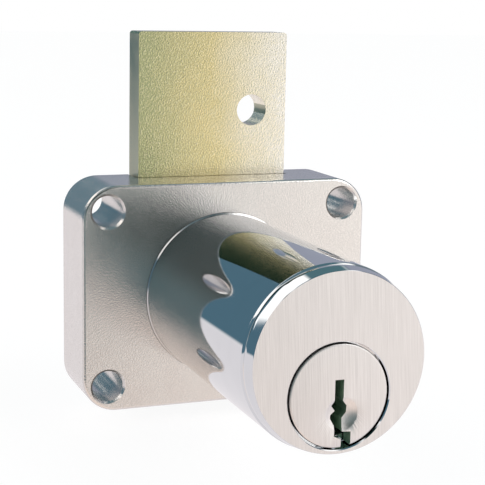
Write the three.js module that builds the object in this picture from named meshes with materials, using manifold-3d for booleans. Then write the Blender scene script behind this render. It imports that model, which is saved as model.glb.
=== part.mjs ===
// Pin-tumbler deadbolt lock for a drawer or cabinet front.
// Millimetres, +Z up. The key face looks along -Y, the barrel axis is the Y axis,
// and the front of the case lies in the plane y = 0.
import * as THREE from 'three';
import { mergeVertices } from 'three/addons/utils/BufferGeometryUtils.js';
import Module from 'manifold-3d';

const wasm = await Module();
wasm.setup();

// ---- driving dimensions ----
const FIT = 0.3; // gap between pieces that rest on each other
const PLAY = 0.15; // radial play of a turning or sliding piece
const CASE = { width: 42.4, height: 32, depth: 11.6, corner: 4.9, edge: 0.35, shiftX: 0.4, frontWall: 3 };
const MOUNT_HOLE = { radius: 2.2, rimRadius: 2.5, inset: 3.6 };
const COVER = { thickness: 1, inset: 0.8, scallop: 3.2, screwX: 13.3, screwZ: 8.5 };
const SLEEVE = { radius: 11.5, wall: 0.75, front: -36.6, rear: 0.85, lip: 0.35, foot: 0.3, seat: 1 };
const HEAD = { radius: 11.33, faceRadius: 11.03, front: -38.8, taperStart: -37.25, rear: -36.75 };
const SHELL = { radius: 10.45, rear: 4.3 };
const NUT = { radius: 12.1, front: 3.2, rear: 4.2, notch: 0.9 };
const PLUG = {
  z: -4, headRadius: 6.35, headLength: 2, edge: 0.3, radius: 5.4, rear: 3.9, tang: 2.6, tangRear: 5.8,
  chamberEnd: -2.2,
};
const PIN = { count: 5, first: -32, pitch: 3.96, radius: 1.35, tip: 0.5, driver: 3 };
const KEY_PIN_LENGTHS = [5.6, 4.6, 5.2, 4.2, 5.0];
const SPRING = { wire: 0.17, radius: 1.05, turns: 5, stepsPerTurn: 10 };
const STRIP = { width: 3.6, thickness: 0.6, z: 9.4, overhang: 2.2 };
const CRANK = { throwRadius: 9.8, front: 4.5, rear: 5.8, hub: 4.6, tip: 1.95 };
const CRANK_SCREW = { hole: 1.35, radius: 1.2, front: -1, headRadius: 2.9, headHeight: 0.8, slot: 0.7 };
const DRIVE_PIN = { radius: 1.3, rear: 11.1 };
const BOLT = { width: 22.5, top: 36.7, bottom: 1.2, front: 7, rear: 11.6, corner: 0.45 };
const BOLT_HOLE = { radius: 2.25, x: 6.3, z: 25.5 };
const SCREW = { radius: 0.95, headRadius: 1.8, sunk: 0.06, neck: 0.1, slot: 0.5, slotDepth: 0.4, length: 5 };

const chamberRadius = PIN.radius + PLAY;
const shearZ = PLUG.z + PLUG.radius;
const caseTop = CASE.height / 2;
const coverFront = CASE.depth + FIT;
const coverRear = coverFront + COVER.thickness;

// ---- helpers ----
const toSolid = (geometry) => {
  const plain = geometry.clone();
  plain.deleteAttribute('normal');
  plain.deleteAttribute('uv');
  const merged = mergeVertices(plain, 1e-5);
  const vertProperties = new Float32Array(merged.attributes.position.array);
  const triVerts = new Uint32Array(merged.index.array);
  const solid = new wasm.Manifold(new wasm.Mesh({ numProp: 3, vertProperties, triVerts }));
  if (solid.volume() > 0) return solid;
  // A profile drawn the other way round gives faces that look inwards: turn them over.
  return new wasm.Manifold(new wasm.Mesh({ numProp: 3, vertProperties, triVerts: triVerts.reverse() }));
};

const toGeometry = (solid) => {
  const mesh = solid.getMesh();
  const geometry = new THREE.BufferGeometry();
  geometry.setAttribute('position', new THREE.BufferAttribute(new Float32Array(mesh.vertProperties), 3));
  geometry.setIndex(new THREE.BufferAttribute(new Uint32Array(mesh.triVerts), 1));
  geometry.computeVertexNormals();
  return geometry;
};

const cut = (base, ...tools) => tools.reduce((solid, tool) => solid.subtract(tool), base);
const join = (base, ...more) => more.reduce((solid, other) => solid.add(other), base);

// A solid turned about a line parallel to Y through (x, z); the profile holds [radius, y] points.
const turnedY = (profile, x = 0, z = 0, segments = 64) => {
  const points = profile.map(([radius, y]) => new THREE.Vector2(radius, y));
  const lathe = new THREE.LatheGeometry([...points, points[0].clone()], segments);
  return toSolid(lathe.translate(x, 0, z));
};

const rodY = (radius, y0, y1, x = 0, z = 0, segments = 48) =>
  turnedY([[0, y0], [radius, y0], [radius, y1], [0, y1]], x, z, segments);

const rodZ = (profile, x, y, segments = 16) => {
  const points = profile.map(([radius, z]) => new THREE.Vector2(radius, z));
  const lathe = new THREE.LatheGeometry([...points, points[0].clone()], segments);
  return toSolid(lathe.rotateX(Math.PI / 2).translate(x, y, 0));
};

const block = (x0, x1, y0, y1, z0, z1) => {
  const box = new THREE.BoxGeometry(x1 - x0, y1 - y0, z1 - z0);
  return toSolid(box.translate((x0 + x1) / 2, (y0 + y1) / 2, (z0 + z1) / 2));
};

// A flat outline in X and Z, made thick along Y.
const slab = (shape, y0, y1, segments = 10) => {
  const geometry = new THREE.ExtrudeGeometry(shape, {
    depth: y1 - y0, bevelEnabled: false, curveSegments: segments,
  });
  return toSolid(geometry.rotateX(Math.PI / 2).translate(0, y1, 0));
};

const roundedShape = (cx, cz, width, height, corner) => {
  const shape = new THREE.Shape();
  const right = cx + width / 2 - corner;
  const left = cx - width / 2 + corner;
  const top = cz + height / 2 - corner;
  const bottom = cz - height / 2 + corner;
  shape.absarc(right, top, corner, 0, Math.PI / 2);
  shape.absarc(left, top, corner, Math.PI / 2, Math.PI);
  shape.absarc(left, bottom, corner, Math.PI, 1.5 * Math.PI);
  shape.absarc(right, bottom, corner, 1.5 * Math.PI, 2 * Math.PI);
  return shape;
};

const polygonShape = (points, x = 0, z = 0) =>
  new THREE.Shape(points.map(([px, pz]) => new THREE.Vector2(px + x, pz + z)));

const FINISH = {
  satinNickel: { color: 0xc9c5bf, roughness: 0.45, metalness: 0.9 },
  chrome: { color: 0xdfe3e6, roughness: 0.08, metalness: 1 },
  brushed: { color: 0xd3cdc8, roughness: 0.35, metalness: 0.9 },
  yellowZinc: { color: 0xc8bd86, roughness: 0.4, metalness: 0.85 },
  steel: { color: 0x9aa0a6, roughness: 0.35, metalness: 0.95 },
  brass: { color: 0xb08d45, roughness: 0.3, metalness: 0.95 },
};

const lock = new THREE.Group();
lock.name = 'drawer_deadbolt_lock';
const addPiece = (name, geometry, finish) => {
  const mesh = new THREE.Mesh(geometry, new THREE.MeshStandardMaterial(FINISH[finish]));
  mesh.name = name;
  lock.add(mesh);
};

// ---- case: a rounded die-cast block with a bolt channel, open at the back ----
const cornerPlaces = (dx, dz) => [[-dx, dz], [dx, dz], [-dx, -dz], [dx, -dz]]
  .map(([x, z]) => [x + CASE.shiftX, z]);
const mountPlaces = cornerPlaces(CASE.width / 2 - MOUNT_HOLE.inset, CASE.height / 2 - MOUNT_HOLE.inset);
const coverScrewPlaces = cornerPlaces(COVER.screwX, COVER.screwZ);
const channelHalf = BOLT.width / 2 + FIT;

const mountHole = ([x, z], y0, y1) => turnedY([
  [0, y0 - 1],
  [MOUNT_HOLE.rimRadius + 1, y0 - 1],
  [MOUNT_HOLE.radius, y0 + MOUNT_HOLE.rimRadius - MOUNT_HOLE.radius],
  [MOUNT_HOLE.radius, y1 + 1],
  [0, y1 + 1],
], x, z, 32);

const buildCase = () => {
  const outer = roundedShape(CASE.shiftX, 0, CASE.width, CASE.height, CASE.corner);
  const front = roundedShape(
    CASE.shiftX, 0, CASE.width - 2 * CASE.edge, CASE.height - 2 * CASE.edge, CASE.corner - CASE.edge,
  );
  const body = join(slab(outer, CASE.edge, CASE.depth), slab(front, 0, CASE.edge));
  const crankRoom = CRANK.throwRadius + CRANK.tip + FIT;
  const cuts = [
    rodY(SHELL.radius + FIT, -1, CASE.depth, 0, 0, 64),
    rodY(SLEEVE.radius + SLEEVE.foot + PLAY, -1, SLEEVE.seat, 0, 0, 64),
    rodY(NUT.radius + FIT, CASE.frontWall, BOLT.front, 0, 0, 64),
    rodY(crankRoom, CRANK.front - FIT, BOLT.front, 0, PLUG.z, 64),
    block(-crankRoom, crankRoom, CRANK.front - FIT, BOLT.front, -caseTop - 1, PLUG.z),
    block(
      CASE.shiftX - channelHalf, CASE.shiftX + channelHalf,
      BOLT.front - FIT, CASE.depth + 1, -caseTop - 1, caseTop + 1,
    ),
    ...mountPlaces.map((place) => mountHole(place, 0, CASE.depth)),
    ...coverScrewPlaces.map(([x, z]) => (
      rodY(SCREW.radius + PLAY, coverRear - SCREW.length - 0.5, CASE.depth + 1, x, z, 20)
    )),
  ];
  return cut(body, ...cuts);
};
addPiece('case_body', toGeometry(buildCase()), 'satinNickel');

// ---- back cover and its four countersunk screws ----
const coverNeck = coverFront + SCREW.neck;

const countersink = ([x, z]) => turnedY([
  [0, coverFront - 1],
  [SCREW.radius + PLAY, coverFront - 1],
  [SCREW.radius + PLAY, coverNeck],
  [SCREW.headRadius + PLAY, coverRear],
  [SCREW.headRadius + PLAY, coverRear + 1],
  [0, coverRear + 1],
], x, z, 32);

const buildCover = () => {
  const outline = roundedShape(
    CASE.shiftX, 0, CASE.width - 2 * COVER.inset, CASE.height - 2 * COVER.inset,
    CASE.corner - COVER.inset,
  );
  const scallops = mountPlaces.map(([x, z]) => rodY(COVER.scallop, 0, coverRear + 1, x, z, 32));
  return cut(slab(outline, coverFront, coverRear), ...scallops, ...coverScrewPlaces.map(countersink));
};
addPiece('back_cover', toGeometry(buildCover()), 'steel');

const buildScrew = (x, z) => {
  const top = coverRear - SCREW.sunk;
  const tip = coverRear - SCREW.length;
  const body = turnedY([
    [0, tip], [SCREW.radius, tip], [SCREW.radius, coverNeck], [SCREW.headRadius, top], [0, top],
  ], x, z, 32);
  const half = SCREW.slot / 2;
  return cut(body, block(
    x - SCREW.headRadius, x + SCREW.headRadius, top - SCREW.slotDepth, top + 1, z - half, z + half,
  ));
};
coverScrewPlaces.forEach(([x, z], i) => {
  addPiece(`cover_screw_${i + 1}`, toGeometry(buildScrew(x, z)), 'steel');
});

// ---- barrel sleeve: the polished tube between the case and the cylinder head ----
addPiece('barrel_sleeve', toGeometry(turnedY([
  [SLEEVE.radius - SLEEVE.wall, SLEEVE.rear],
  [SLEEVE.radius + SLEEVE.foot, SLEEVE.rear],
  [SLEEVE.radius + SLEEVE.foot, -SLEEVE.foot],
  [SLEEVE.radius, -2 * SLEEVE.foot],
  [SLEEVE.radius, SLEEVE.front + SLEEVE.lip],
  [SLEEVE.radius - SLEEVE.lip, SLEEVE.front],
  [SLEEVE.radius - SLEEVE.wall, SLEEVE.front],
])), 'chrome');

// ---- cylinder shell: head, body, plug bore and pin chambers ----
const pinY = (i) => PIN.first + i * PIN.pitch;
const pinIndexes = Array.from({ length: PIN.count }, (_, i) => i);
const stripFront = pinY(0) - STRIP.overhang;
const stripRear = pinY(PIN.count - 1) + STRIP.overhang;

const buildShell = () => {
  const body = turnedY([
    [0, HEAD.front],
    [HEAD.faceRadius, HEAD.front],
    [HEAD.radius, HEAD.taperStart],
    [HEAD.radius, HEAD.rear],
    [SHELL.radius, HEAD.rear],
    [SHELL.radius, SHELL.rear],
    [0, SHELL.rear],
  ]);
  const bore = rodY(PLUG.radius + PLAY, HEAD.front - 1, SHELL.rear + 1, 0, PLUG.z, 64);
  const counterbore = rodY(
    PLUG.headRadius + PLAY, HEAD.front - 1, HEAD.front + PLUG.headLength + PLAY, 0, PLUG.z, 64,
  );
  const chambers = pinIndexes.map((i) => (
    rodZ([
      [0, PLUG.z], [chamberRadius, PLUG.z], [chamberRadius, STRIP.z + 0.1], [0, STRIP.z + 0.1],
    ], 0, pinY(i))
  ));
  const stripSlot = block(
    -STRIP.width / 2 - PLAY, STRIP.width / 2 + PLAY,
    stripFront - PLAY, stripRear + PLAY, STRIP.z - PLAY, SHELL.radius + 1,
  );
  return cut(body, bore, counterbore, stripSlot, ...chambers);
};
addPiece('cylinder_shell', toGeometry(buildShell()), 'brushed');

addPiece('chamber_strip', toGeometry(block(
  -STRIP.width / 2, STRIP.width / 2, stripFront, stripRear, STRIP.z, STRIP.z + STRIP.thickness,
)), 'brass');

// ---- ring nut that pulls the cylinder tight from inside the case ----
const buildNut = () => {
  const ring = rodY(NUT.radius, NUT.front, NUT.rear, 0, 0, 64);
  const notches = [45, 135, 225, 315].map((degrees) => {
    const angle = THREE.MathUtils.degToRad(degrees);
    const x = NUT.radius * Math.cos(angle);
    const z = NUT.radius * Math.sin(angle);
    return rodY(NUT.notch, NUT.front - 1, NUT.rear + 1, x, z, 16);
  });
  return cut(ring, rodY(SHELL.radius + PLAY, NUT.front - 1, NUT.rear + 1, 0, 0, 64), ...notches);
};
addPiece('ring_nut', toGeometry(buildNut()), 'steel');

// ---- plug with its keyway, dimple, pin chambers and square tang ----
// Keyway section seen from the front, from the plug's axis.
const KEYWAY = [
  [-0.55, 2], [0.6, 2], [0.6, -0.6], [1.15, -1.3], [1.15, -2.1], [0.6, -2.8], [0.5, -4.35],
  [1.65, -4.45], [1.65, -7], [0.4, -7], [0.4, -5.3], [-0.5, -4.9], [-0.5, -3.6], [-1, -2.7],
  [-0.95, -2.3], [-0.35, -1.85], [-0.9, -1.15], [-0.55, -0.6],
];
const DIMPLE = { x: 0.4, z: -2.25, radius: 2.1, depth: 0.45 };

const buildPlug = () => {
  const front = HEAD.front;
  const shoulder = front + PLUG.headLength;
  const body = join(
    turnedY([
      [0, front],
      [PLUG.headRadius - PLUG.edge, front],
      [PLUG.headRadius, front + PLUG.edge],
      [PLUG.headRadius, shoulder],
      [PLUG.radius, shoulder],
      [PLUG.radius, PLUG.rear],
      [0, PLUG.rear],
    ], 0, PLUG.z, 64),
    block(-PLUG.tang / 2, PLUG.tang / 2, 0, PLUG.tangRear, PLUG.z - PLUG.tang, PLUG.z + PLUG.tang),
  );
  const keyway = slab(polygonShape(KEYWAY, 0, PLUG.z), front - 1, pinY(PIN.count - 1) + 6);
  const ballRadius = (DIMPLE.radius ** 2 + DIMPLE.depth ** 2) / (2 * DIMPLE.depth);
  const ball = new THREE.SphereGeometry(ballRadius, 48, 32);
  const dimple = toSolid(ball.translate(DIMPLE.x, front - ballRadius + DIMPLE.depth, PLUG.z + DIMPLE.z));
  const chamberBottom = PLUG.z + PLUG.chamberEnd;
  const chambers = pinIndexes.map((i) => (
    rodZ([
      [0, chamberBottom], [chamberRadius, chamberBottom], [chamberRadius, shearZ + 1], [0, shearZ + 1],
    ], 0, pinY(i))
  ));
  const screwHole = rodY(CRANK_SCREW.hole, CRANK_SCREW.front - 1, PLUG.tangRear + 1, 0, PLUG.z, 20);
  return cut(body, keyway, dimple, screwHole, ...chambers);
};
addPiece('plug', toGeometry(buildPlug()), 'brushed');

// ---- pin stacks: key pin in the plug, driver pin and spring in the shell ----
class Helix extends THREE.Curve {
  constructor(x, y, z0, z1) {
    super();
    Object.assign(this, { x, y, z0, z1 });
  }

  getPoint(t, target = new THREE.Vector3()) {
    const angle = t * SPRING.turns * 2 * Math.PI;
    return target.set(
      this.x + SPRING.radius * Math.cos(angle),
      this.y + SPRING.radius * Math.sin(angle),
      this.z0 + t * (this.z1 - this.z0),
    );
  }
}

const wireSection = () => {
  const shape = new THREE.Shape();
  shape.absarc(0, 0, SPRING.wire, 0, 2 * Math.PI);
  return shape;
};

pinIndexes.forEach((i) => {
  const y = pinY(i);
  const keyPinTop = shearZ - 0.1;
  const keyPinBottom = keyPinTop - KEY_PIN_LENGTHS[i];
  addPiece(`key_pin_${i + 1}`, toGeometry(rodZ([
    [0, keyPinBottom], [PIN.tip, keyPinBottom], [PIN.radius, keyPinBottom + 0.7],
    [PIN.radius, keyPinTop - 0.35], [PIN.radius - 0.2, keyPinTop - 0.12], [0, keyPinTop],
  ], 0, y)), 'brass');

  const driverBottom = shearZ + PLAY + 0.1;
  const driverTop = driverBottom + PIN.driver;
  addPiece(`driver_pin_${i + 1}`, toGeometry(rodZ([
    [0, driverBottom], [PIN.radius - 0.2, driverBottom], [PIN.radius, driverBottom + 0.2],
    [PIN.radius, driverTop - 0.2], [PIN.radius - 0.2, driverTop], [0, driverTop],
  ], 0, y)), 'steel');

  const springPath = new Helix(0, y, driverTop + FIT, STRIP.z - FIT);
  const spring = new THREE.ExtrudeGeometry(wireSection(), {
    steps: SPRING.turns * SPRING.stepsPerTurn, curveSegments: 3, extrudePath: springPath,
  });
  addPiece(`pin_spring_${i + 1}`, toGeometry(toSolid(spring)), 'steel');
});

// ---- crank on the plug's tang, its screw and its drive pin ----
const buildCrank = () => {
  const pinZ = PLUG.z + CRANK.throwRadius;
  const arm = new THREE.Shape();
  const lean = Math.asin((CRANK.hub - CRANK.tip) / CRANK.throwRadius);
  arm.absarc(0, PLUG.z, CRANK.hub, Math.PI - lean, lean);
  arm.absarc(0, pinZ, CRANK.tip, lean, Math.PI - lean);
  return cut(
    slab(arm, CRANK.front, CRANK.rear, 24),
    block(
      -PLUG.tang / 2 - PLAY, PLUG.tang / 2 + PLAY, CRANK.front - 1, CRANK.rear + 1,
      PLUG.z - PLUG.tang - PLAY, PLUG.z + PLUG.tang + PLAY,
    ),
    rodY(DRIVE_PIN.radius + PLAY, CRANK.front - 1, CRANK.rear + 1, 0, pinZ, 24),
  );
};
addPiece('crank', toGeometry(buildCrank()), 'steel');

addPiece('drive_pin', toGeometry(turnedY([
  [0, CRANK.front], [DRIVE_PIN.radius, CRANK.front], [DRIVE_PIN.radius, DRIVE_PIN.rear - 0.3],
  [DRIVE_PIN.radius - 0.3, DRIVE_PIN.rear], [0, DRIVE_PIN.rear],
], 0, PLUG.z + CRANK.throwRadius, 24)), 'steel');

const buildCrankScrew = () => {
  const seat = CRANK.rear + PLAY;
  const top = CRANK.rear + CRANK_SCREW.headHeight;
  const body = turnedY([
    [0, CRANK_SCREW.front], [CRANK_SCREW.radius, CRANK_SCREW.front], [CRANK_SCREW.radius, seat],
    [CRANK_SCREW.headRadius, seat], [CRANK_SCREW.headRadius, top - 0.25],
    [CRANK_SCREW.headRadius - 0.3, top], [0, top],
  ], 0, PLUG.z, 32);
  const half = CRANK_SCREW.slot / 2;
  const reach = CRANK_SCREW.headRadius + 0.1;
  return cut(body, block(-reach, reach, top - 0.3, top + 1, PLUG.z - half, PLUG.z + half));
};
addPiece('crank_screw', toGeometry(buildCrankScrew()), 'steel');

// ---- bolt: a flat bar with a through hole and a side-open window for the drive pin ----
// The bolt moves evenly with the turn while the pin runs on a circle, so seen from the bolt the
// pin leaves its middle height by throwRadius * (cos a - 1 + 2 a / pi), up and then down again.
const buildBolt = () => {
  const middle = CASE.shiftX;
  const body = slab(
    roundedShape(middle, (BOLT.top + BOLT.bottom) / 2, BOLT.width, BOLT.top - BOLT.bottom, BOLT.corner),
    BOLT.front, BOLT.rear,
  );
  const pinZ = PLUG.z + CRANK.throwRadius;
  const reach = DRIVE_PIN.radius + PLAY;
  const steps = 12;
  const riseAt = (angle) => CRANK.throwRadius * (Math.cos(angle) - 1 + (2 * angle) / Math.PI);
  const stops = Array.from({ length: steps + 1 }, (_, i) => {
    const angle = (i / steps) * Math.asin(2 / Math.PI);
    const x = CRANK.throwRadius * Math.sin(angle);
    return [-1, 1].map((side) => (
      rodY(reach, BOLT.front - 1, BOLT.rear + 1, x, pinZ + side * riseAt(angle), 24)
    ));
  });
  const flare = stops.slice(1).map((pair, i) => wasm.Manifold.hull([...pair, ...stops[i]]));
  const widest = (CRANK.throwRadius * 2) / Math.PI;
  const halfHeight = riseAt(Math.asin(2 / Math.PI)) + reach;
  const side = block(
    widest, middle + BOLT.width / 2 + 1, BOLT.front - 1, BOLT.rear + 1, pinZ - halfHeight, pinZ + halfHeight,
  );
  return cut(
    body,
    ...flare,
    side,
    rodY(BOLT_HOLE.radius, BOLT.front - 1, BOLT.rear + 1, BOLT_HOLE.x, BOLT_HOLE.z, 40),
  );
};
addPiece('bolt', toGeometry(buildBolt()), 'yellowZinc');

export default lock;
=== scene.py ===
"""Looks for a pin-tumbler deadbolt lock.

A cast case, a polished barrel, a brushed plug head and a yellow-zinc bolt.
"""
import math

import bpy
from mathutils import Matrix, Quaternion, Vector


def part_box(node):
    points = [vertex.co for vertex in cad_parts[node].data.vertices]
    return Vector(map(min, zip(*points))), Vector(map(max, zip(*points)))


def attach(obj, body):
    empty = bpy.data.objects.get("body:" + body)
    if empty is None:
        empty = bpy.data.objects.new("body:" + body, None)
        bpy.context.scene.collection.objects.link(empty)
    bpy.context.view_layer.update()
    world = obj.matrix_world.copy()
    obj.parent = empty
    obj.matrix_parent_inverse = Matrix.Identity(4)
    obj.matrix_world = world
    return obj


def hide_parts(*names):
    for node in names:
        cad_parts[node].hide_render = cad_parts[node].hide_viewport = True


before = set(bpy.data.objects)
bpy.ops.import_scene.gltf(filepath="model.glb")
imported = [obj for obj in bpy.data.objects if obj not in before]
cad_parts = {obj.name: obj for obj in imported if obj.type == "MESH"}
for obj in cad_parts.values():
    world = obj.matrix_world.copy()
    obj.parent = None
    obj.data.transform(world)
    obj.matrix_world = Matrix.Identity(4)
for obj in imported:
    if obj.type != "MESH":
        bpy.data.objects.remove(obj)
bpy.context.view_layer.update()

MM = 0.001
FRONT_TO_BACK = (0, 1, 0)


# ---------------------------------------------------------------- sizes, from the frame
def low_high(node):
    low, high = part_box(node)
    return Vector(low), Vector(high)


CASE_LOW, CASE_HIGH = low_high("case_body")
COVER_LOW, COVER_HIGH = low_high("back_cover")
SLEEVE_LOW, SLEEVE_HIGH = low_high("barrel_sleeve")
SHELL_LOW, SHELL_HIGH = low_high("cylinder_shell")
PLUG_LOW, PLUG_HIGH = low_high("plug")
BOLT_LOW, BOLT_HIGH = low_high("bolt")

CASE_MIDDLE_X = (CASE_LOW.x + CASE_HIGH.x) / 2
PLUG_Z = (PLUG_LOW.z + PLUG_HIGH.z) / 2
PLUG_RADIUS = (PLUG_HIGH.x - PLUG_LOW.x) / 2
HEAD_RADIUS = SHELL_HIGH.x
SLEEVE_RADIUS = SLEEVE_HIGH.x
FOOT_RADIUS = SLEEVE_RADIUS - 0.14 * MM
CASE_CORNER = 4.9 * MM
MOUNT_INSET = 3.6 * MM
MOUNT_RADIUS = 2.2 * MM
MOUNT_RIM = 2.5 * MM
CHANNEL_GAP = 0.3 * MM
COVER_INSET = 0.8 * MM
SPARE = MM  # how far a cutting tool runs past the piece it cuts


# ---------------------------------------------------------------- modelling helpers
WELD = 1e-7  # points closer than this are one point
BEVEL_FROM = math.radians(30)  # edges that turn more than this are softened
SMOOTH_TO = math.radians(32)  # edges that turn less than this are shaded smooth


def deselect():
    bpy.ops.object.select_all(action="DESELECT")


def make_active(piece):
    deselect()
    piece.select_set(True)
    bpy.context.view_layer.objects.active = piece


def edit(piece, mode):
    make_active(piece)
    bpy.ops.object.mode_set(mode="EDIT")
    bpy.ops.mesh.select_mode(type=mode)


def leave_edit():
    bpy.ops.object.mode_set(mode="OBJECT")


def select_edges(piece, wanted):
    """Selects, in edit mode, the edges whose two ends pass the test."""
    edit(piece, "EDGE")
    bpy.ops.mesh.select_all(action="DESELECT")
    leave_edit()
    mesh = piece.data
    for edge in mesh.edges:
        a, b = (mesh.vertices[i].co for i in edge.vertices)
        edge.select = wanted(a, b)
    bpy.ops.object.mode_set(mode="EDIT")


def select_faces(piece, wanted):
    edit(piece, "FACE")
    bpy.ops.mesh.select_all(action="DESELECT")
    leave_edit()
    for face in piece.data.polygons:
        face.select = wanted(face)
    bpy.ops.object.mode_set(mode="EDIT")


def settle(piece):
    """Puts the piece's place into its mesh, with its object at the origin."""
    make_active(piece)
    bpy.ops.object.transform_apply(location=True, rotation=True, scale=True)


def clean(piece):
    edit(piece, "VERT")
    bpy.ops.mesh.select_all(action="SELECT")
    bpy.ops.mesh.remove_doubles(threshold=WELD)
    bpy.ops.mesh.normals_make_consistent(inside=False)
    leave_edit()


def draw_line(points):
    """Draws a line from point to point, and stays in edit mode with all of it selected."""
    deselect()
    bpy.ops.mesh.primitive_plane_add(size=MM, location=points[0])
    piece = bpy.context.object
    settle(piece)
    edit(piece, "VERT")
    bpy.ops.mesh.select_all(action="SELECT")
    bpy.ops.mesh.merge(type="CENTER")
    for start, end in zip(points, points[1:]):
        step = [b - a for a, b in zip(start, end)]
        bpy.ops.mesh.extrude_region_move(TRANSFORM_OT_translate={"value": step})
    bpy.ops.mesh.select_all(action="SELECT")
    return piece


def turned(name, profile, x=0.0, z=0.0, steps=128):
    """Spins a profile of (radius, y) points about a line along Y through (x, z)."""
    piece = draw_line([(x + radius, y, z) for radius, y in profile])
    bpy.ops.mesh.spin(steps=steps, angle=2 * math.pi, center=(x, 0, z), axis=FRONT_TO_BACK)
    leave_edit()
    piece.name = name
    clean(piece)
    return piece


def block(name, low, high):
    deselect()
    low, high = Vector(low), Vector(high)
    bpy.ops.mesh.primitive_cube_add(size=1, location=(low + high) / 2, scale=high - low)
    piece = bpy.context.object
    piece.name = name
    settle(piece)
    return piece


def round_corners(piece, radius, segments):
    """Bevels the edges that run front to back."""
    def runs_back(a, b):
        return abs(a.x - b.x) < WELD and abs(a.z - b.z) < WELD

    select_edges(piece, runs_back)
    bpy.ops.mesh.bevel(offset=radius, segments=segments, affect="EDGES")
    leave_edit()


def cut(piece, *tools):
    for tool in tools:
        make_active(piece)
        boolean = piece.modifiers.new("cut", "BOOLEAN")
        boolean.operation = "DIFFERENCE"
        boolean.solver = "EXACT"
        boolean.object = tool
        bpy.ops.object.modifier_apply(modifier=boolean.name)
        bpy.data.objects.remove(tool)
    return piece


def soften(piece, width, segments=3):
    """Takes the sharpness off every edge with a small bevel."""
    make_active(piece)
    bevel = piece.modifiers.new("soft edges", "BEVEL")
    bevel.width = width
    bevel.segments = segments
    bevel.limit_method = "ANGLE"
    bevel.angle_limit = BEVEL_FROM
    bevel.miter_outer = "MITER_ARC"
    bevel.harden_normals = False
    bpy.ops.object.modifier_apply(modifier=bevel.name)


def finish(piece, *materials):
    """Cleans and shades the piece; the first of its materials covers every face."""
    clean(piece)
    make_active(piece)
    bpy.ops.object.shade_smooth_by_angle(angle=SMOOTH_TO)
    weighted = piece.modifiers.new("flat faces stay flat", "WEIGHTED_NORMAL")
    weighted.weight = 100
    weighted.keep_sharp = True
    bpy.ops.object.modifier_apply(modifier=weighted.name)
    piece.data.materials.clear()
    for material in materials:
        piece.data.materials.append(material)
    return piece


def paint(piece, material, wanted):
    """Gives the faces that pass the test another of the piece's own materials."""
    index = piece.data.materials.find(material.name)
    for face in piece.data.polygons:
        if wanted(face):
            face.material_index = index


def paint_front(piece, material, front):
    """Paints the flat faces that look forward at y = front."""
    paint(piece, material, lambda face: face.normal.y < -0.98 and abs(face.center.y - front) < 1e-6)


def rod_tool(radius, y0, y1, x, z, steps=64):
    return turned("tool", [(0, y0), (radius, y0), (radius, y1), (0, y1)], x, z, steps)


# ---------------------------------------------------------------- shader helpers
class Graph:
    """A short way to add and join the nodes of one material or group."""

    def __init__(self, tree):
        self.tree = tree

    def add(self, kind, **settings):
        node = self.tree.nodes.new(kind)
        inputs = settings.pop("inputs", {})
        for key, value in settings.items():
            setattr(node, key, value)
        for key, value in inputs.items():
            self.put(node, key, value)
        return node

    def put(self, node, key, value):
        if isinstance(value, bpy.types.NodeSocket):
            self.tree.links.new(value, node.inputs[key])
        else:
            node.inputs[key].default_value = value

    def math(self, operation, a, b=0.0):
        node = self.add("ShaderNodeMath", operation=operation, inputs={0: a, 1: b})
        return node.outputs[0]

    def mix(self, factor, a, b, blend="MIX"):
        node = self.add("ShaderNodeMix", data_type="RGBA", blend_type=blend)
        for key, value in ((0, factor), (6, a), (7, b)):
            self.put(node, key, value)
        return node.outputs[2]

    def span(self, value, low, high, to_low=0.0, to_high=1.0):
        node = self.add("ShaderNodeMapRange", inputs={
            "Value": value, "From Min": low, "From Max": high, "To Min": to_low, "To Max": to_high,
        })
        return node.outputs["Result"]

    def noise(self, vector, scale, detail=3.0, roughness=0.5):
        node = self.add("ShaderNodeTexNoise", inputs={
            "Vector": vector, "Scale": scale, "Detail": detail, "Roughness": roughness,
        })
        return node.outputs["Fac"]

    def place(self):
        return self.add("ShaderNodeTexCoord").outputs["Object"]


def new_group(name, inputs, outputs):
    """A node group whose sockets are all plain numbers, set wherever the group is used."""
    tree = bpy.data.node_groups.new(name, "ShaderNodeTree")
    for in_out, labels in (("INPUT", inputs), ("OUTPUT", outputs)):
        for label in labels:
            tree.interface.new_socket(label, in_out=in_out, socket_type="NodeSocketFloat")
    nodes = tree.nodes
    return tree, Graph(tree), nodes.new("NodeGroupInput"), nodes.new("NodeGroupOutput")


def build_cast_grain():
    """The fine orange-peel skin of a plated casting or stamping: a height and a mottled tint."""
    tree, g, given, out = new_group(
        "cast_grain", ["Grain size", "Mottle size", "Mottle"], ["Height", "Mottle", "Speckle"],
    )
    place = g.place()
    fine_scale = g.math("DIVIDE", 1.0, given.outputs["Grain size"])
    broad_scale = g.math("DIVIDE", 1.0, given.outputs["Mottle size"])
    fine = g.noise(place, fine_scale, 2.0, 0.55)
    finer = g.noise(place, g.math("MULTIPLY", fine_scale, 2.3), 1.0, 0.5)
    broad = g.noise(place, broad_scale, 4.0, 0.6)
    height = g.math("ADD", g.math("MULTIPLY", fine, 0.6), g.math("MULTIPLY", finer, 0.4))
    g.put(out, "Height", height)
    g.put(out, "Mottle", g.math("MULTIPLY", g.span(broad, 0.35, 0.65), given.outputs["Mottle"]))
    g.put(out, "Speckle", g.span(fine, 0.5, 0.68))
    return tree


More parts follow.
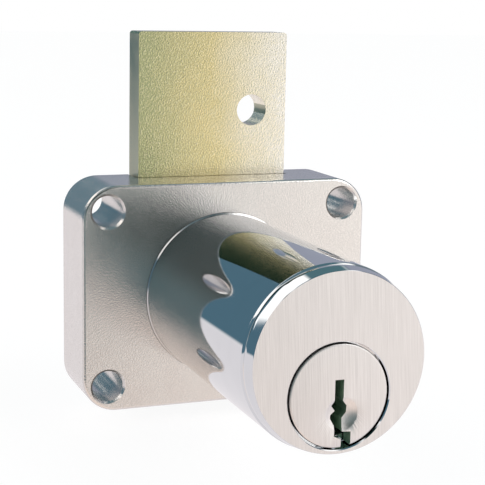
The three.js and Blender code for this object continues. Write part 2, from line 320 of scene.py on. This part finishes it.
def build_brushing():
    """Fine straight brush lines of a given width and length, leaning a little off upright."""
    tree, g, given, out = new_group(
        "brushing", ["Line width", "Line length"], ["Height", "Streak"],
    )
    parts = g.add("ShaderNodeSeparateXYZ", inputs={0: g.place()}).outputs
    lean = g.math("ADD", parts["X"], g.math("MULTIPLY", parts["Z"], 0.06))
    across = g.math("DIVIDE", lean, given.outputs["Line width"])
    along = g.math("DIVIDE", parts["Z"], given.outputs["Line length"])
    depth = g.math("DIVIDE", parts["Y"], given.outputs["Line width"])
    vector = g.add("ShaderNodeCombineXYZ", inputs={0: across, 1: depth, 2: along}).outputs[0]
    fine = g.noise(vector, 1.0, 3.0, 0.6)
    broad = g.noise(vector, 0.4, 2.0, 0.5)
    height = g.math("ADD", g.math("MULTIPLY", fine, 0.8), g.math("MULTIPLY", broad, 0.2))
    g.put(out, "Height", height)
    g.put(out, "Streak", g.span(g.math("ADD", fine, g.math("MULTIPLY", broad, 0.5)), 0.55, 0.95))
    return tree


def build_handling_marks():
    """Sparse hairline scratches and faint smudges on a polished surface."""
    tree, g, given, out = new_group("handling_marks", ["Amount"], ["Scratch", "Smudge"])
    place = g.place()
    amount = given.outputs["Amount"]
    warp = g.noise(place, 90.0, 2.0)
    lines = g.add("ShaderNodeTexVoronoi", feature="DISTANCE_TO_EDGE", inputs={
        "Vector": place, "Scale": 260.0,
    })
    thin = g.span(lines.outputs["Distance"], 0.0, 0.012, 1.0, 0.0)
    sparse = g.span(warp, 0.55, 0.7)
    g.put(out, "Scratch", g.math("MULTIPLY", g.math("MULTIPLY", thin, sparse), amount))
    smudge = g.noise(place, 140.0, 4.0, 0.65)
    g.put(out, "Smudge", g.math("MULTIPLY", g.span(smudge, 0.45, 0.7), amount))
    return tree


GRAIN = build_cast_grain()
BRUSHING = build_brushing()
MARKS = build_handling_marks()


def new_material(name, roughness, metallic=1.0):
    material = bpy.data.materials.new(name)
    material.use_nodes = True
    g = Graph(material.node_tree)
    shader = material.node_tree.nodes["Principled BSDF"]
    shader.inputs["Metallic"].default_value = metallic
    shader.inputs["Roughness"].default_value = roughness
    return material, g, shader


def use_group(g, tree, **inputs):
    node = g.add("ShaderNodeGroup", node_tree=tree)
    for key, value in inputs.items():
        g.put(node, key.replace("_", " "), value)
    return node.outputs


def bumped(g, shader, height, strength, distance):
    bump = g.add("ShaderNodeBump", inputs={
        "Height": height, "Strength": strength, "Distance": distance,
    })
    g.put(shader, "Normal", bump.outputs["Normal"])


def rgb(red, green, blue):
    return (red, green, blue, 1.0)


# ---------------------------------------------------------------- finishes
def satin_nickel():
    material, g, shader = new_material("satin nickel casting", 0.16, 0.86)
    grain = use_group(g, GRAIN, Grain_size=0.00024, Mottle_size=0.006, Mottle=0.6)
    colour = g.mix(grain["Mottle"], rgb(0.74, 0.71, 0.685), rgb(0.79, 0.77, 0.745))
    colour = g.mix(g.math("MULTIPLY", grain["Speckle"], 0.5), colour, rgb(0.90, 0.87, 0.84))
    g.put(shader, "Base Color", colour)
    g.put(shader, "Roughness", g.span(grain["Mottle"], 0.0, 1.0, 0.15, 0.2))
    bumped(g, shader, grain["Height"], 1.0, 0.00003)
    return material


def polished_chrome():
    material, g, shader = new_material("polished chrome", 0.05)
    marks = use_group(g, MARKS, Amount=0.5)
    colour = g.mix(marks["Smudge"], rgb(0.72, 0.74, 0.76), rgb(0.66, 0.68, 0.70))
    g.put(shader, "Base Color", colour)
    g.put(shader, "Roughness", g.span(marks["Smudge"], 0.0, 1.0, 0.04, 0.09))
    bumped(g, shader, marks["Scratch"], 0.05, 0.00001)
    return material


def brushed_nickel():
    material, g, shader = new_material("brushed nickel face", 0.35)
    brushing = use_group(g, BRUSHING, Line_width=0.00008, Line_length=0.006)
    colour = g.mix(brushing["Streak"], rgb(0.72, 0.70, 0.69), rgb(0.82, 0.80, 0.79))
    g.put(shader, "Base Color", colour)
    g.put(shader, "Roughness", g.span(brushing["Streak"], 0.0, 1.0, 0.36, 0.28))
    bumped(g, shader, brushing["Height"], 0.6, 0.00002)
    return material


def yellow_zinc():
    """Yellow chromate over zinc: sparkling grain, and a tint that runs from olive to cream across
    the bar; the cream side is partly the plating's own tint and partly a painted highlight.
    """
    material, g, shader = new_material("yellow zinc plating", 0.2)
    grain = use_group(g, GRAIN, Grain_size=0.00024, Mottle_size=0.007, Mottle=1.0)
    # Colour runs olive to cream along X: part plating tint, part painted highlight washing out the
    # right side.
    across = g.add("ShaderNodeSeparateXYZ", inputs={0: g.place()}).outputs["X"]
    drift = g.math("ADD", across, g.math("MULTIPLY", grain["Mottle"], 0.003))
    tint = g.add("ShaderNodeValToRGB", inputs={0: g.span(drift, -0.0095, 0.0125)})
    ramp = tint.color_ramp
    ramp.elements[0].color = rgb(0.56, 0.57, 0.31)
    ramp.elements[1].color = rgb(0.94, 0.91, 0.83)
    middle = ramp.elements.new(0.5)
    middle.color = rgb(0.80, 0.69, 0.37)
    speckle = g.math("MULTIPLY", grain["Speckle"], 0.5)
    colour = g.mix(speckle, tint.outputs[0], rgb(0.90, 0.83, 0.56))
    g.put(shader, "Base Color", colour)
    g.put(shader, "Roughness", g.span(grain["Speckle"], 0.0, 1.0, 0.16, 0.1))
    bumped(g, shader, grain["Height"], 1.0, 0.00005)
    return material


def mottled_metal(name, roughness, sizes, colours, rough_range, bump, metallic=1.0):
    """A dull metal: its tint and roughness drift together over a fine grain."""
    material, g, shader = new_material(name, roughness, metallic)
    grain_size, mottle_size = sizes
    grain = use_group(g, GRAIN, Grain_size=grain_size, Mottle_size=mottle_size, Mottle=1.0)
    g.put(shader, "Base Color", g.mix(grain["Mottle"], *colours))
    g.put(shader, "Roughness", g.span(grain["Mottle"], 0.0, 1.0, *rough_range))
    bumped(g, shader, grain["Height"], *bump)
    return material


SATIN = satin_nickel()
CHROME = polished_chrome()
BRUSHED = brushed_nickel()
ZINC = yellow_zinc()
# The bar's sheared sides are duller and greener than its faces.
ZINC_EDGE = mottled_metal(
    "sheared zinc edge", 0.35, (0.0003, 0.003),
    (rgb(0.40, 0.42, 0.31), rgb(0.50, 0.50, 0.38)), (0.3, 0.42), (0.8, 0.00004),
)
# Bare brass inside the keyway, left rough; its dark green colour is painted shade and a painted
# reflection of the teal surroundings.
KEYWAY_SHADE_AND_REFLECTION = mottled_metal(
    "keyway brass with painted shade and reflection", 0.45, (0.0005, 0.002),
    (rgb(0.30, 0.46, 0.37), rgb(0.45, 0.60, 0.46)), (0.35, 0.6), (0.4, 0.00004), metallic=0.7,
)
STEEL = mottled_metal(
    "zinc plated steel", 0.35, (0.0009, 0.004),
    (rgb(0.46, 0.48, 0.50), rgb(0.56, 0.57, 0.58)), (0.28, 0.42), (0.25, 0.00003),
)
BRASS = mottled_metal(
    "turned brass", 0.3, (0.0003, 0.002),
    (rgb(0.56, 0.43, 0.19), rgb(0.66, 0.52, 0.26)), (0.24, 0.38), (0.2, 0.00002),
)


# ---------------------------------------------------------------- pieces
def corner_places(dx, dz):
    return [(CASE_MIDDLE_X + sx * dx, sz * dz) for sx in (-1, 1) for sz in (-1, 1)]


MOUNT_PLACES = corner_places(
    (CASE_HIGH.x - CASE_LOW.x) / 2 - MOUNT_INSET, (CASE_HIGH.z - CASE_LOW.z) / 2 - MOUNT_INSET,
)
COVER_SCREW_PLACES = corner_places(13.3 * MM, 8.5 * MM)


def build_case():
    """The cast case: rounded outline, four mounting holes, and the rooms behind its front."""
    edge = 0.45 * MM
    case = block("case", CASE_LOW, CASE_HIGH)
    round_corners(case, CASE_CORNER, 16)
    select_faces(case, lambda face: abs(face.normal.y) > 0.9)
    bpy.ops.mesh.select_mode(type="EDGE")
    bpy.ops.mesh.region_to_loop()
    bpy.ops.mesh.bevel(offset=edge, segments=4, affect="EDGES")
    leave_edit()
    chamfer = MOUNT_RIM - MOUNT_RADIUS
    past_back = CASE_HIGH.y + SPARE
    for x, z in MOUNT_PLACES:
        cut(case, turned("tool", [
            (0, -SPARE), (MOUNT_RIM + SPARE, -SPARE), (MOUNT_RADIUS, chamfer),
            (MOUNT_RADIUS, past_back), (0, past_back),
        ], x, z, 64))
    channel = block(
        "tool",
        (BOLT_LOW.x - CHANNEL_GAP, BOLT_LOW.y - CHANNEL_GAP, CASE_LOW.z - SPARE),
        (BOLT_HIGH.x + CHANNEL_GAP, past_back, CASE_HIGH.z + SPARE),
    )
    foot_seat, foot_depth = FOOT_RADIUS + 0.05 * MM, 1 * MM
    shell_bore = SHELL_HIGH.z - 0.58 * MM
    nut_room, nut_front = 12.4 * MM, 3 * MM
    crank_room, crank_front = 12.05 * MM, 4.2 * MM
    crank_slot = block(
        "tool",
        (-crank_room, crank_front, CASE_LOW.z - SPARE), (crank_room, BOLT_LOW.y, PLUG_Z),
    )
    cut(
        case, channel, crank_slot,
        rod_tool(foot_seat, -SPARE, foot_depth, 0, 0, 128),
        rod_tool(shell_bore, -SPARE, CASE_HIGH.y, 0, 0, 96),
        rod_tool(nut_room, nut_front, BOLT_LOW.y, 0, 0, 96),
        rod_tool(crank_room, crank_front, BOLT_LOW.y, 0, PLUG_Z, 96),
    )
    finish(case, SATIN)
    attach(case, "root")
    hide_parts("case_body")


def build_sleeve():
    """The polished barrel: a thin foot ring at the case and a rounded lip at the front."""
    wall, foot_step, lip = 1.05 * MM, 0.3 * MM, 0.35 * MM
    inner, barrel = SLEEVE_RADIUS - wall, SLEEVE_RADIUS - foot_step
    front, rear = SLEEVE_LOW.y, SLEEVE_HIGH.y
    sleeve = turned("polished_barrel", [
        (inner, rear), (FOOT_RADIUS, rear),
        (FOOT_RADIUS, -0.1 * MM), (FOOT_RADIUS - 0.03 * MM, -0.16 * MM),
        (barrel + 0.04 * MM, -0.33 * MM), (barrel, -0.4 * MM),
        (barrel, front + lip + 0.03 * MM), (barrel - 0.03 * MM, front + lip - 0.04 * MM),
        (barrel - lip + 0.04 * MM, front + 0.03 * MM), (barrel - lip - 0.03 * MM, front),
        (inner, front), (inner, rear),
    ], steps=192)
    finish(sleeve, CHROME)
    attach(sleeve, "root")
    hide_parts("barrel_sleeve")


def build_head():
    """The cylinder: polished rim, brushed face, and the bore that the plug turns in."""
    front = SHELL_LOW.y
    body, neck = 10.45 * MM, -36.75 * MM
    face_radius = HEAD_RADIUS - 0.34 * MM
    head = turned("cylinder_head", [
        (0, front), (face_radius, front), (face_radius + 0.05 * MM, front + 0.05 * MM),
        (HEAD_RADIUS - 0.02 * MM, front + 1.45 * MM), (HEAD_RADIUS, front + 1.6 * MM),
        (HEAD_RADIUS, neck - 0.1 * MM), (HEAD_RADIUS - 0.1 * MM, neck),
        (body, neck), (body, SHELL_HIGH.y), (0, SHELL_HIGH.y),
    ], steps=192)
    flange_end = front + 2.15 * MM
    mouth, flange_bore, body_bore = PLUG_RADIUS + 1.3 * MM, PLUG_RADIUS + 0.2 * MM, 5.55 * MM
    cut(
        head,
        turned("tool", [
            (0, front - SPARE), (mouth, front - SPARE), (flange_bore, front + 0.12 * MM),
            (flange_bore, flange_end), (0, flange_end),
        ], 0, PLUG_Z, 128),
        rod_tool(body_bore, front - SPARE, SHELL_HIGH.y + SPARE, 0, PLUG_Z, 96),
    )
    finish(head, CHROME, BRUSHED)
    paint_front(head, BRUSHED, front)
    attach(head, "root")
    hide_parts("cylinder_shell")


# The keyway's outline, in millimetres across and up from the plug's centre.
KEYWAY = [
    (-0.55, 2), (0.6, 2), (0.6, -0.6), (1.15, -1.3), (1.15, -2.1), (0.6, -2.8), (0.5, -4.35),
    (1.65, -4.45), (1.65, -7), (0.4, -7), (0.4, -5.3), (-0.5, -4.9), (-0.5, -3.6), (-1, -2.7),
    (-0.95, -2.3), (-0.35, -1.85), (-0.9, -1.15), (-0.55, -0.6),
]


def outline_tool(points, y0, y1):
    """A closed outline in X and Z, drawn point by point, filled, and extruded from y0 to y1."""
    tool = draw_line([(x, y0, z) for x, z in points])
    bpy.ops.mesh.edge_face_add()
    bpy.ops.mesh.extrude_region_move(TRANSFORM_OT_translate={"value": (0, y1 - y0, 0)})
    leave_edit()
    clean(tool)
    return tool


def build_plug():
    """The key plug: bevelled face, keyway, and the shallow dimple round the keyway's mouth."""
    front = PLUG_LOW.y + 0.05 * MM
    shoulder, rear = front + 1.95 * MM, 3.9 * MM
    body = 5.4 * MM
    plug = turned("key_plug", [
        (0, front), (PLUG_RADIUS - 0.3 * MM, front), (PLUG_RADIUS - 0.08 * MM, front + 0.1 * MM),
        (PLUG_RADIUS, front + 0.3 * MM), (PLUG_RADIUS, shoulder), (body, shoulder),
        (body, rear), (0, rear),
    ], 0, PLUG_Z, 128)
    keyway_end = -10 * MM
    keyway_points = [(x * MM, PLUG_Z + z * MM) for x, z in KEYWAY]
    cut(plug, outline_tool(keyway_points, front - SPARE, keyway_end))
    dimple_radius, dimple_depth = 2.1 * MM, 0.45 * MM
    dimple_x, dimple_z = 0.4 * MM, PLUG_Z - 2.25 * MM
    ball_radius = (dimple_radius ** 2 + dimple_depth ** 2) / (2 * dimple_depth)
    deselect()
    bpy.ops.mesh.primitive_uv_sphere_add(
        segments=96, ring_count=64, radius=ball_radius,
        location=(dimple_x, front - ball_radius + dimple_depth, dimple_z),
    )
    ball = bpy.context.object
    settle(ball)
    cut(plug, ball)
    finish(plug, CHROME, BRUSHED, KEYWAY_SHADE_AND_REFLECTION)
    paint_front(plug, BRUSHED, front)
    rim = PLUG_RADIUS - 0.35 * MM

    def dimple_or_bevel(face):
        x, z = face.center.x, face.center.z
        in_dimple = math.hypot(x - dimple_x, z - dimple_z) < dimple_radius + 0.02 * MM
        on_bevel = math.hypot(x, z - PLUG_Z) > rim
        return face.normal.y < -0.3 and face.center.y < front + 0.5 * MM and (in_dimple or on_bevel)

    def in_keyway(face):
        x, z = face.center.x, face.center.z - PLUG_Z
        upright = abs(face.normal.y) < 0.05 and face.center.y > front
        inside = -1.1 * MM < x < 1.7 * MM and math.hypot(x, z) < rim
        return upright and inside

    paint(plug, BRUSHED, dimple_or_bevel)
    # The keyway walls take the brass whose dark green is painted shade and a painted reflection.
    paint(plug, KEYWAY_SHADE_AND_REFLECTION, in_keyway)
    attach(plug, "plug")
    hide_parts("plug")


def build_bolt():
    """The flat bar: a round hole at its end, and the window that the drive pin works in."""
    front, back = BOLT_LOW.y, BOLT_HIGH.y
    bolt = block("bolt_bar", BOLT_LOW, BOLT_HIGH)
    round_corners(bolt, 0.45 * MM, 5)
    hole_radius, hole_x, hole_z = 2.25 * MM, 6.3 * MM, 25.5 * MM
    hole = rod_tool(hole_radius, front - SPARE, back + SPARE, hole_x, hole_z, 64)
    # The window is open at the bar's side; its tools end at different depths, so that no two
    # of their ends lie in one plane.
    window_x, window_z = 6.24 * MM, 5.8 * MM
    window_low, window_high, nose_radius = 2.28 * MM, 9.32 * MM, 3.52 * MM
    seat_radius = 1.45 * MM
    side = block(
        "tool",
        (window_x, front - SPARE, window_low),
        (BOLT_HIGH.x + SPARE, back + SPARE, window_high),
    )
    nose = rod_tool(nose_radius, front - 2 * SPARE, back + 2 * SPARE, window_x, window_z, 48)
    seat = rod_tool(seat_radius, front - 3 * SPARE, back + 3 * SPARE, 0, window_z, 48)
    throat_left, throat_right = 0.4 * MM, 5.9 * MM
    throat = outline_tool(
        [
            (throat_left, 7.18 * MM), (throat_right, 9.28 * MM),
            (throat_right, 2.32 * MM), (throat_left, 4.42 * MM),
        ],
        front - 1.5 * SPARE, back + 1.5 * SPARE,
    )
    cut(bolt, hole, side, nose, seat, throat)
    soften(bolt, 0.12 * MM)
    finish(bolt, ZINC, ZINC_EDGE)
    paint(bolt, ZINC_EDGE, lambda face: abs(face.normal.x) > 0.95 or face.normal.z < -0.95)
    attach(bolt, "bolt")
    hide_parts("bolt")


def build_cover():
    """The pressed back cover: scalloped at the mounting holes, countersunk for its screws."""
    front, back = COVER_LOW.y, COVER_HIGH.y
    scallop, screw_hole, countersink = 3.2 * MM, 1.1 * MM, 1.95 * MM
    cover = block("rear_cover", COVER_LOW, COVER_HIGH)
    round_corners(cover, CASE_CORNER - COVER_INSET, 12)
    tools = [rod_tool(scallop, front - SPARE, back + SPARE, x, z, 64) for x, z in MOUNT_PLACES]
    for x, z in COVER_SCREW_PLACES:
        tools.append(turned("tool", [
            (0, front - SPARE), (screw_hole, front - SPARE), (screw_hole, front + 0.1 * MM),
            (countersink, back), (countersink, back + SPARE), (0, back + SPARE),
        ], x, z, 48))
    cut(cover, *tools)
    soften(cover, 0.1 * MM)
    finish(cover, STEEL)
    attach(cover, "root")
    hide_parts("back_cover")


def build_cover_screws():
    """Countersunk slotted screws: one is turned and slotted, the others are copies of it."""
    low, high = low_high("cover_screw_1")
    x, z = (low.x + high.x) / 2, (low.z + high.z) / 2
    head, shank, top = (high.x - low.x) / 2, 0.95 * MM, high.y
    first = turned("cover_screw_head_1", [
        (0, low.y), (shank - 0.3 * MM, low.y), (shank, low.y + 0.4 * MM), (shank, top - 0.84 * MM),
        (head - 0.04 * MM, top - 0.04 * MM), (head - 0.09 * MM, top), (0, top),
    ], x, z, 48)
    half_length, half_width, depth = 2 * MM, 0.25 * MM, 0.4 * MM
    slot = block(
        "tool",
        (x - half_length, top - depth, z - half_width),
        (x + half_length, top + SPARE, z + half_width),
    )
    cut(first, slot)
    soften(first, 0.03 * MM, 2)
    finish(first, STEEL)
    screws = [first]
    for number in (2, 3, 4):
        place = low_high(f"cover_screw_{number}")[0]
        copy = first.copy()
        copy.data = first.data.copy()
        copy.name = f"cover_screw_head_{number}"
        bpy.context.collection.objects.link(copy)
        copy.location = (place.x - low.x, 0, place.z - low.z)
        settle(copy)
        screws.append(copy)
    for number, screw in enumerate(screws, 1):
        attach(screw, "root")
        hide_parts(f"cover_screw_{number}")


build_case()
build_cover()
build_cover_screws()
build_sleeve()
build_head()
build_plug()
build_bolt()

# ---------------------------------------------------------------- pieces kept from the frame
for name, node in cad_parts.items():
    brass = name.startswith("key_pin") or name == "chamber_strip"
    node.data.materials.clear()
    node.data.materials.append(BRASS if brass else STEEL)


# ---------------------------------------------------------------- stage, light and camera
def build_floor():
    """A pale floor: it shows to the camera and lets the metal mirror the studio beyond it."""
    deselect()
    floor_size, floor_z = 4, -19 * MM
    bpy.ops.mesh.primitive_plane_add(size=floor_size, location=(0, 0, floor_z))
    floor = bpy.context.object
    floor.name = "floor"
    settle(floor)
    material, g, shader = new_material("pale floor", 0.8, 0.0)
    cloud = g.noise(g.place(), 3.0)
    g.put(shader, "Base Color", g.mix(cloud, rgb(0.12, 0.12, 0.12), rgb(0.13, 0.13, 0.13)))
    shader.inputs["Specular IOR Level"].default_value = 0.0
    shader.inputs["Emission Color"].default_value = rgb(1, 1, 1)
    shader.inputs["Emission Strength"].default_value = 0.92
    clear = g.add("ShaderNodeBsdfTransparent")
    seen = g.add("ShaderNodeLightPath").outputs["Is Camera Ray"]
    blend = g.add("ShaderNodeMixShader", inputs={
        0: seen, 1: clear.outputs[0], 2: shader.outputs[0],
    })
    g.put(material.node_tree.nodes["Material Output"], "Surface", blend.outputs[0])
    floor.data.materials.append(material)


def build_world():
    """The studio that the metal mirrors: white walls, a pale table and a few coloured cards."""
    world = bpy.data.worlds.new("studio")
    bpy.context.scene.world = world
    world.use_nodes = True
    g = Graph(world.node_tree)
    background = world.node_tree.nodes["Background"]
    direction = g.add("ShaderNodeTexCoord").outputs["Generated"]
    parts = g.add("ShaderNodeSeparateXYZ", inputs={0: direction}).outputs
    rise = g.math("ARCSINE", parts["Z"])
    from_front = g.math("ARCTAN2", parts["X"], g.math("MULTIPLY", parts["Y"], -1.0))
    from_back = g.math("ARCTAN2", parts["X"], parts["Y"])

    def ramp(value, low, high, to_low, to_high):
        return g.add("ShaderNodeMapRange", interpolation_type="SMOOTHSTEP", inputs={
            "Value": value, "From Min": low, "From Max": high, "To Min": to_low, "To Max": to_high,
        }).outputs["Result"]

    def between(value, low, high, soft):
        low, high, soft = (math.radians(angle) for angle in (low, high, soft))
        rising = ramp(value, low - soft, low + soft, 0.0, 1.0)
        falling = ramp(value, high - soft, high + soft, 1.0, 0.0)
        return g.math("MULTIPLY", rising, falling)

    lamp_white = rgb(1.5, 1.48, 1.45)
    near_black = rgb(0.012, 0.035, 0.035)

    # Each card: which way its bearing is counted, bearing range, height range, softness, colour.
    cards = [
        ("table", from_front, (-190, 190), (-100, -5.5), (4, 1.5), rgb(0.88, 0.84, 0.86)),
        ("table front", from_front, (-60, 23), (-100, -14), (4, 3), rgb(1.06, 0.91, 0.83)),
        ("window", from_front, (12.5, 60), (-13, -3), (4, 2.5), rgb(1.3, 1.25, 1.21)),
        ("window high", from_front, (8, 60), (-3, 27), (3, 2.5), rgb(1.05, 1.02, 1.0)),
        ("window low", from_front, (24.5, 60), (-26, -12), (3, 2.5), rgb(1.12, 1.06, 1.03)),
        ("backdrop", from_back, (-130, 100), (-5.5, 27), (8, 1.3), rgb(0.09, 0.18, 0.24)),
        ("backdrop right", from_back, (13, 80), (-5.5, 27), (6, 1.3), rgb(0.36, 0.38, 0.46)),
        ("upper right", from_back, (2, 80), (27, 60), (3, 3), rgb(0.10, 0.20, 0.23)),
        ("soft box", from_back, (-44, -1), (28, 56), (1.5, 2), lamp_white),
        ("soft box edge", from_back, (-44, -27), (11, 29), (1.5, 1.5), lamp_white),
        ("dark front", from_front, (-50, 9), (-20, 55), (7, 7), rgb(0.05, 0.13, 0.155)),
        ("grey front", from_front, (6, 19), (-14.8, -11.2), (3, 1.8), rgb(0.26, 0.34, 0.35)),
        ("dim front", from_front, (-20, 18.8), (-7, 8), (2.5, 1.5), rgb(0.19, 0.26, 0.26)),
        ("dark above", from_front, (-50, 15), (6, 55), (2, 3), near_black),
        ("dark overhead", from_front, (5, 40), (27, 60), (3, 3), near_black),
        ("ceiling", from_front, (-190, 190), (60, 95), (4, 4), rgb(0.10, 0.19, 0.23)),
        ("side strip", from_front, (75, 110), (-1.5, 50), (4, 3), rgb(0.22, 0.26, 0.30)),
    ]
    colour = rgb(1.5, 1.45, 1.41)  # the white walls behind the cards
    for _, bearing, across, upright, soft, card in cards:
        columns = between(bearing, *across, soft[0])
        rows = between(rise, *upright, soft[1])
        colour = g.mix(g.math("MULTIPLY", columns, rows), colour, card)
    seen = g.add("ShaderNodeLightPath").outputs["Is Camera Ray"]
    g.put(background, "Color", g.mix(seen, colour, rgb(1, 1, 1)))
    background.inputs["Strength"].default_value = 1.0


def build_light(name, place, target, size, power):
    light = bpy.data.lights.new(name, "AREA")
    light.shape = "RECTANGLE"
    light.size, light.size_y = size
    light.energy = power
    lamp = bpy.data.objects.new(name, light)
    bpy.context.collection.objects.link(lamp)
    lamp.location = place
    lamp.rotation_euler = (Vector(target) - Vector(place)).to_track_quat("-Z", "Y").to_euler()


def build_camera():
    camera = bpy.data.cameras.new("camera")
    camera.lens = 98.4
    camera.clip_start = 0.01
    holder = bpy.data.objects.new("camera", camera)
    bpy.context.collection.objects.link(holder)
    holder.location = (-65.0 * MM, -173.5 * MM, 41.6 * MM)
    target = Vector((-1.3 * MM, -10 * MM, 9.2 * MM))
    aim = (target - holder.location).to_track_quat("-Z", "Y")
    roll = Quaternion((0, 0, 1), math.radians(1.12))
    holder.rotation_mode = "QUATERNION"
    holder.rotation_quaternion = aim @ roll
    bpy.context.scene.camera = holder


build_floor()
build_world()
build_light("soft key", (0.55, -0.5, 0.5), (0, 0, 0), (0.4, 0.4), 2)
build_camera()
bpy.context.scene.view_settings.view_transform = "Standard"
